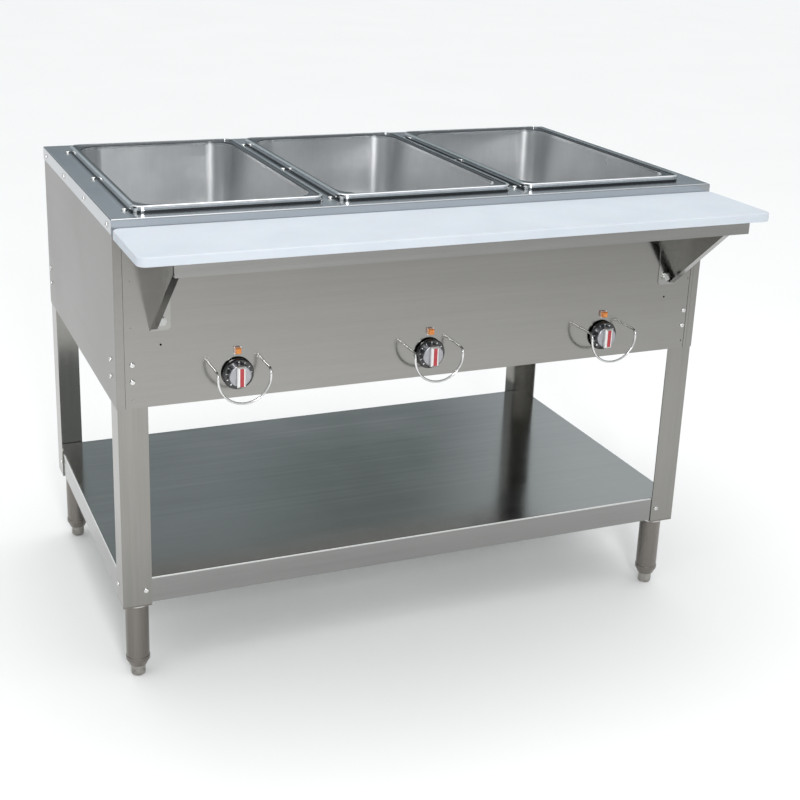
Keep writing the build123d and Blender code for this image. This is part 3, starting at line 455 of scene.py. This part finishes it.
def turned_grip(name, node):
    low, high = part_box(node)
    mid = (low + high) / 2
    f = Finish(name, Metallic=1.0)
    out = f.node("VectorMath", {"operation": "SUBTRACT"}, {0: f.place(), 1: (mid.x, 0, mid.z)})
    flat = f.node("VectorMath", {"operation": "MULTIPLY"}, {0: out, 1: (1, 0, 1)})
    reach = f.node("VectorMath", {"operation": "LENGTH"}, {0: flat}, out=1)
    turning = {"W": reach * 3000, "Scale": 1.0, "Detail": 2.0}
    ring = f.node("TexNoise", {"noise_dimensions": "1D"}, turning)
    patch = f.noise((120, 120, 120), detail=4.0, rough=0.6)
    level = f.node("SeparateXYZ", None, {0: f.place()}, out=1)
    foot_of_bar = low.y + bar_height
    raised = f.between(level, foot_of_bar - 0.4 * mm, foot_of_bar - 1.2 * mm)
    face = f.blend(0.6 * ring + 0.4 * patch, (0.30, 0.30, 0.32), (0.50, 0.50, 0.53))
    return f.feed(
        Base_Color=f.blend(raised, face, (0.88, 0.88, 0.87)),
        Roughness=f.between(ring, 0.3, 0.7, 0.20, 0.34) + 0.08 * patch + 0.12 * raised,
        Normal=f.bump(ring, 0.02 * mm, 0.6),
    )


pointer = Finish("pointer_red", Coat_Weight=0.5, Coat_Roughness=0.1)
paint = pointer.noise((500, 500, 500), detail=3.0)
pointer_red = pointer.feed(
    Base_Color=pointer.blend(paint, (0.34, 0.010, 0.018), (0.50, 0.020, 0.032)),
    Roughness=pointer.between(paint, 0.3, 0.7, 0.25, 0.4),
    Normal=pointer.bump(paint, 0.03 * mm, 0.5),
)

# A faint painted glow: the emission stands for light passing through the lens.
amber = Finish("lens_amber", Coat_Weight=0.7, Coat_Roughness=0.05, Transmission_Weight=0.35,
               IOR=1.49, Emission_Strength=0.08)
rib = amber.noise((700, 40, 60), detail=1.0)
haze = amber.noise((160, 160, 160), detail=3.0)
deep = amber.between(haze, 0.35, 0.65)
lens_amber = amber.feed(
    Base_Color=amber.blend(deep, (0.78, 0.20, 0.010), (0.90, 0.36, 0.030)),
    Roughness=amber.between(haze, 0.3, 0.7, 0.14, 0.26),
    Emission_Color=amber.blend(haze, (0.85, 0.22, 0.01), (0.95, 0.34, 0.03)),
    Normal=amber.bump(rib, 0.15 * mm, 0.5),
)
print("skirt, grip, pointer and lens finishes")


# %% [markdown]
# The mouldings that stay out of sight are plain plastics, but not flat colours: a
# thermoset switch body has a dark swirl, and nylon has a soft spark-eroded grain.

# %% Small moulded plastics
def moulded(name, dark, light, rough, grain=600, depth=0.05 * mm):
    f = Finish(name)
    spark = f.noise((grain, grain, grain), detail=3.0, rough=0.6)
    swirl = f.noise((26, 26, 26), detail=5.0, rough=0.6)
    mix = f.between(0.6 * swirl + 0.4 * spark, 0.35, 0.65)
    return f.feed(
        Base_Color=f.blend(mix, dark, light),
        Roughness=f.between(spark, 0.3, 0.7, rough - 0.08, rough + 0.10),
        Normal=f.bump(spark, depth, 0.6),
    )


switch_dark = moulded("switch_thermoset", (0.055, 0.030, 0.020), (0.12, 0.070, 0.050), 0.38)
gland_black = moulded("gland_nylon", (0.018, 0.018, 0.018), (0.045, 0.045, 0.045), 0.52)
terminal_cream = moulded("terminal_ceramic", (0.66, 0.60, 0.47), (0.80, 0.745, 0.62), 0.45)
print("three moulded plastics")


# %% [markdown]
# ## Which node wears which finish
#
# A sheet keeps the grain of the sheet it was cut from. The control panel and the
# board shelf are cut along the length, the side panels front to back, and the legs
# are folded from upright strips, so each gets the steel with its own grain.

# %% Dress the nodes
def dress(material, *names):
    for name in names:
        slots = nodes[name].data.materials
        slots.clear()
        slots.append(material)


numbered = lambda stem: [f"{stem}_{k}" for k in (1, 2, 3)]
legs = [f"leg_{end}_{side}" for end in ("front", "back") for side in ("left", "right")]
feet = [name.replace("leg", "foot") for name in legs]

dress(top_steel, "top_panel")
dress(cabinet_x, "front_panel", "back_panel")
dress(cabinet_y, "side_panel_left", "side_panel_right", "bottom_panel")
dress(cabinet_z, *legs)
dress(folded_steel, "board_shelf", "board_bracket_left", "board_bracket_right")
dress(shelf_steel, "undershelf")
for name in numbered("pan"):
    dress(pressed_pan("pan_steel_" + name[-1], name), name)
dress(galvanised, *numbered("well_liner"), "element_clips")
dress(element_sheath, *numbered("heating_element"))
dress(mineral_wool, "well_insulation")
dress(tube_steel, "foot_tubes", "foot_collars")
dress(turned_foot, *feet)
dress(bright_metal, "well_screws", "body_screws", "shelf_screws", "board_pins")
dress(bolt_plate, "bracket_bolts")
dress(bright_metal, "indicator_bezels", *numbered("knob_guard"), *numbered("knob_shaft"))
dress(board_plastic, "cutting_board")
dress(skirt_black, *numbered("knob_skirt"))
dress(pointer_red, *numbered("knob_pointer"))
dress(lens_amber, "indicator_lenses")
dress(switch_dark, *numbered("control_switch"))
dress(gland_black, "cable_gland")
dress(terminal_cream, "terminal_block")
for name in numbered("knob_grip"):
    dress(turned_grip("grip_aluminium_" + name[-1], name), name)

bare = [name for name, o in nodes.items() if not o.data.materials[0].use_nodes]
print("dressed", len(nodes) - len(bare), "nodes; still bare:", bare)

# %% [markdown]
# ## Ferrules on the foot tubes
#
# Where each tube meets its corner plate sits a bright pressed ferrule, which hides
# the weld. A torus would be too round: the real one is a low band with rolled
# edges. So its outline is written as a list, how far each point stands proud of the
# ring on the tube and how far it lies below the plate, and spun round the tube in
# bmesh. A fine ripple in the radius gives it the beaten look of a band closed over a
# weld.

# %% Spin an outline round an upright axis
def spun(name, outline, centre, turns=72, ripple=0.0):
    made = bmesh.new()
    rows = []
    for k in range(turns):
        angle = 2 * math.pi * k / turns
        swell = 1 + ripple * math.sin(9 * angle) * math.sin(23 * angle)
        across, inward = swell * math.cos(angle), swell * math.sin(angle)
        rows.append([made.verts.new((centre[0] + r * across, centre[1] + r * inward, z))
                     for r, z in outline])
    for k in range(turns):
        here, there = rows[k], rows[(k + 1) % turns]
        for j in range(len(outline)):
            n = (j + 1) % len(outline)
            made.faces.new((here[j], there[j], there[n], here[n]))
    bmesh.ops.recalc_face_normals(made, faces=made.faces)
    mesh = bpy.data.meshes.new(name)
    made.to_mesh(mesh)
    made.free()
    for face in mesh.polygons:
        face.use_smooth = True
    piece = bpy.data.objects.new(name, mesh)
    bpy.context.collection.objects.link(piece)
    return piece


ferrule_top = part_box(legs[0])[0].z - 3.2 * mm
ring_radius = 21.45 * mm
proud_and_below = [(-0.4, 6.2), (0.2, 6.5), (0.7, 5.8), (0.8, 4.5), (0.6, 3.0), (0.8, 1.5),
                   (0.6, 0.4), (0.0, 0.0), (-0.4, 0.0)]
band = [(ring_radius + proud * mm, ferrule_top - below * mm) for proud, below in proud_and_below]
for leg in legs:
    low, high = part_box(leg.replace("leg", "foot"))
    mid = (low + high) / 2
    ferrule = spun("ferrule_" + leg[4:], band, (mid.x, mid.y), ripple=0.004)
    ferrule.data.materials.append(bright_metal)
    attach(ferrule, "table")
print("four ferrules at", round(ferrule_top / mm), "mm")

# %% [markdown]
# ## Marks on the knob skirts
#
# Each black skirt carries small silver marks round the grip. They could be painted
# with a mask, but raised foil marks catch the light on their edges, so each is a
# thin slab with a bevelled top, turned round the knob's axis. They ride on the knob
# and turn with it.

# %% Build one ring of foil marks
mark_step = 28
lift_and_bevel = ((-0.20, 0.0), (0.10, 0.0), (0.22, 0.18))


def foil_marks(name, skirt_node, grip_node):
    low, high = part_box(skirt_node)
    mid = (low + high) / 2
    grip_low, grip_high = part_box(grip_node)
    inner = (grip_high.x - grip_low.x) / 2 + 0.8 * mm
    outer = (high.x - low.x) / 2 - 4.2 * mm
    made = bmesh.new()
    for k in range(-5, 6):
        angle = math.radians(mark_step * k)
        turn_x, turn_z = math.cos(angle), math.sin(angle)
        half_width = (0.6 if k % 5 else 1.1) * mm
        rings = []
        for lift, bevel in lift_and_bevel:
            side = half_width - bevel * mm
            near, far = inner + bevel * mm, outer - bevel * mm
            corners = [(-side, near), (side, near), (side, far), (-side, far)]
            rings.append([made.verts.new((mid.x + a * turn_x + b * turn_z, low.y - lift * mm,
                                          mid.z + b * turn_x - a * turn_z))
                          for a, b in corners])
        for under, over in zip(rings, rings[1:]):
            for j in range(4):
                made.faces.new((under[j], under[(j + 1) % 4], over[(j + 1) % 4], over[j]))
        made.faces.new(rings[-1])
        made.faces.new(reversed(rings[0]))
    bmesh.ops.recalc_face_normals(made, faces=made.faces)
    mesh = bpy.data.meshes.new(name)
    made.to_mesh(mesh)
    made.free()
    piece = bpy.data.objects.new(name, mesh)
    bpy.context.collection.objects.link(piece)
    return piece


print("a ring of marks can be made")


# %% [markdown]
# The foil is stamped on hot, which leaves it silver but a little grainy, so a fine
# noise changes its roughness. The tick marks are plain and stand for no scale.

# %% Silver foil, and a ring of marks on each knob
foil = Finish("silver_foil", Metallic=1.0)
speck = foil.noise((900, 900, 900), detail=3.0)
silver_foil = foil.feed(
    Base_Color=foil.blend(speck, (0.78, 0.78, 0.78), (0.92, 0.92, 0.92)),
    Roughness=foil.between(speck, 0.3, 0.7, 0.30, 0.45),
    Normal=foil.bump(speck, 0.02 * mm, 0.4),
)
for k in (1, 2, 3):
    marks = foil_marks(f"skirt_marks_{k}", f"knob_skirt_{k}", f"knob_grip_{k}")
    marks.data.materials.append(silver_foil)
    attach(marks, f"knob_{k}")
print("eleven marks on each of three skirts")

# %% [markdown]
# ## The floor
#
# A catalogue picture of steel is mostly a picture of what stands round it, and the
# front and side panels mirror the floor. It is pale paint with faint clouds. In
# front of the table a painted shade darkens it by a third as it goes away, so that
# the panels shade softly from bottom to top. Dimmer light in front would do much the
# same, but would darken the floor under the table too.

# %% Floor
floor_mesh = bpy.data.meshes.new("floor")
far = 60
corners = [(-far, -far, 0), (far, -far, 0), (far, far, 0), (-far, far, 0)]
floor_mesh.from_pydata(corners, [], [(0, 1, 2, 3)])
floor = bpy.data.objects.new("floor", floor_mesh)
bpy.context.collection.objects.link(floor)
ground = Finish("floor_paint", Specular_IOR_Level=0.1)
cloud = ground.noise((1.2, 1.2, 1.2), detail=3.0)
pale = ground.blend(cloud, (0.93, 0.93, 0.925), (0.96, 0.96, 0.955))
forward = ground.node("SeparateXYZ", None, {0: ground.place()}, out=1)
# Where the painted shade on the floor begins and where it is full.
fade_from, fade_to = -1.6, -3.0
floor_mesh.materials.append(ground.feed(
    Base_Color=ground.blend(0.33 * ground.between(forward, fade_from, fade_to), pale, black),
    Roughness=ground.between(cloud, 0.3, 0.7, 0.75, 0.85),
))
floor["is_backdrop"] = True
print("the floor fades from", -fade_from, "to", -fade_to, "m in front")


# %% [markdown]
# ## Three soft lights
#
# A large soft light overhead draws the bright line along every rolled edge. A weaker
# one from the left lifts the end panel. The third stands in front, narrow and
# strong: its light bounces between the walls and floors of the pans, which gives the
# glow in their corners.

# %% Lights
def soft_light(name, size, power, place, aim, tint=(1, 1, 1)):
    lamp = bpy.data.lights.new(name, "AREA")
    lamp.shape, lamp.size, lamp.size_y = "RECTANGLE", *size
    lamp.energy, lamp.color = power, tint
    made = bpy.data.objects.new(name, lamp)
    made.location = place
    toward_aim = Vector(aim) - Vector(place)
    made.rotation_euler = toward_aim.to_track_quat("-Z", "Y").to_euler()
    bpy.context.collection.objects.link(made)


warm = (1.0, 0.98, 0.95)
soft_light("overhead", (1.5, 0.9), 8, (-0.2, 0.3, 2.9), (0, 0, 0.8))
soft_light("left_side", (1.4, 1.6), 5, (-2.6, -1.2, 1.7), (-0.2, 0, 0.5), warm)
soft_light("front_fill", (0.45, 1.2), 50, (-0.80, -3.5, 1.9), (0, 0, 0.5))
print("three soft lights")


# %% [markdown]
# ## The room that the steel mirrors
#
# The top and the shelf mirror the low part of the room behind the table, so the room
# is what gives them their tones. An image of a studio would do it, but a ramp on the
# height of the view is easier to tune: dark just above the floor for the top, a
# light band over it, a darker one for the shelf, and a bright ceiling. Two masks on
# the direction darken the middle of the shelf's band and brighten its right side.
# The background shader takes the place of a surface shader, so a small class makes
# a finish of the world.

# %% A room of soft bands
class Room(Finish):
    def __init__(self, name):
        world = bpy.data.worlds.new(name)
        world.use_nodes = True
        bpy.context.scene.world = world
        self.material = world
        self.tree = world.node_tree
        self.shader = self.tree.nodes["Background"]


room = Room("room")
toward = room.node("TexCoord")
across, inward, upward = (room.node("SeparateXYZ", None, {0: toward}, out=k) for k in (0, 1, 2))
bands = [
    (-1.0, 0.60, 0.60, 0.59),
    (0.0, 0.36, 0.38, 0.39),
    (0.12, 0.16, 0.20, 0.22),
    (0.19, 0.21, 0.25, 0.27),
    (0.245, 0.58, 0.64, 0.68),
    (0.30, 0.50, 0.55, 0.58),
    (0.37, 0.28, 0.32, 0.33),
    (0.48, 0.28, 0.32, 0.33),
    (0.62, 0.62, 0.64, 0.66),
    (0.80, 1.30, 1.30, 1.30),
    (1.0, 1.75, 1.75, 1.75),
]
stops = [((height + 1) / 2, (*colour, 1)) for height, *colour in bands]
plain = room.node("ValToRGB", {"stops": stops}, {0: 0.5 * upward + 0.5})
right_side = room.between(across - 0.50 * inward, -0.02, 0.10)
middle = room.between(abs(across - 0.42 * inward), 0.11, 0.02)
shelf_band = room.between(upward, 0.28, 0.36) * room.between(upward, 0.60, 0.50)
shaded = room.blend(0.5 * middle * shelf_band, plain, (0.10, 0.13, 0.12))
lit = room.blend(0.55 * right_side * shelf_band, shaded, (0.90, 0.95, 0.98))
room.feed(Color=lit, Strength=1.0)
bpy.context.scene.view_settings.view_transform = "Standard"
print("a room of", len(bands), "bands")

# %% [markdown]
# ## Check the size and finish
#
# The finishes must not change the object's size, so its box is compared with the
# measured one.

# %% Check and finish
shown_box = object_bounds()
grown = max(abs(a - b) for m, s in zip(measured_box, shown_box) for a, b in zip(m, s))
print("the shown box differs from the measured box by", round(grown / mm, 2), "mm")
